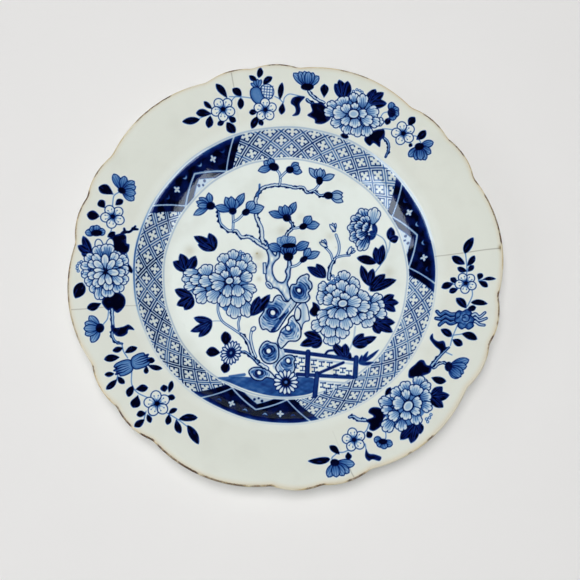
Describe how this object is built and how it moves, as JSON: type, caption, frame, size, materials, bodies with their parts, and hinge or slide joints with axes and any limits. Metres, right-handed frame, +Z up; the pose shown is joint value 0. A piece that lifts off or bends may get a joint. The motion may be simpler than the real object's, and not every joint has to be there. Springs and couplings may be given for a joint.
{
  "type": "china dinner plate",
  "caption": "Round blue-and-white porcelain dinner plate with a lobed brown lip, a wide flange, a curved wall with a blue border, a flat well and a foot ring to stand on.",
  "frame": {"origin": "centre of the foot ring, on the surface that the plate stands on", "axes": "+Z up out of the well along the plate's axis, +X to the right and +Y to the top of the painted scene"},
  "size_m": [0.2288, 0.2278, 0.025],
  "materials": {
    "bare_paste": "dry unglazed porcelain, buff where it was fired bare",
    "face_glaze": "glossy, greenish white glaze over cobalt painting",
    "back_glaze": "glossy, greenish white glaze",
    "base_glaze": "glossy, greenish white glaze with pinholes",
    "lip_brown": "thin brown dressing, worn to tan",
    "trellis_blue": "cobalt blue under glaze",
    "panel_blue": "near black cobalt blue under glaze",
    "line_blue": "cobalt blue under glaze"
  },
  "bodies": {
    "root": {"porcelain_body": "bare_paste", "face_glaze": "face_glaze", "back_glaze": "back_glaze", "base_glaze": "base_glaze", "rim_dressing": "lip_brown", "trellis_border": "trellis_blue", "reserve_panels": "panel_blue", "ring_lines": "line_blue"}
  },
  "joints": []
}
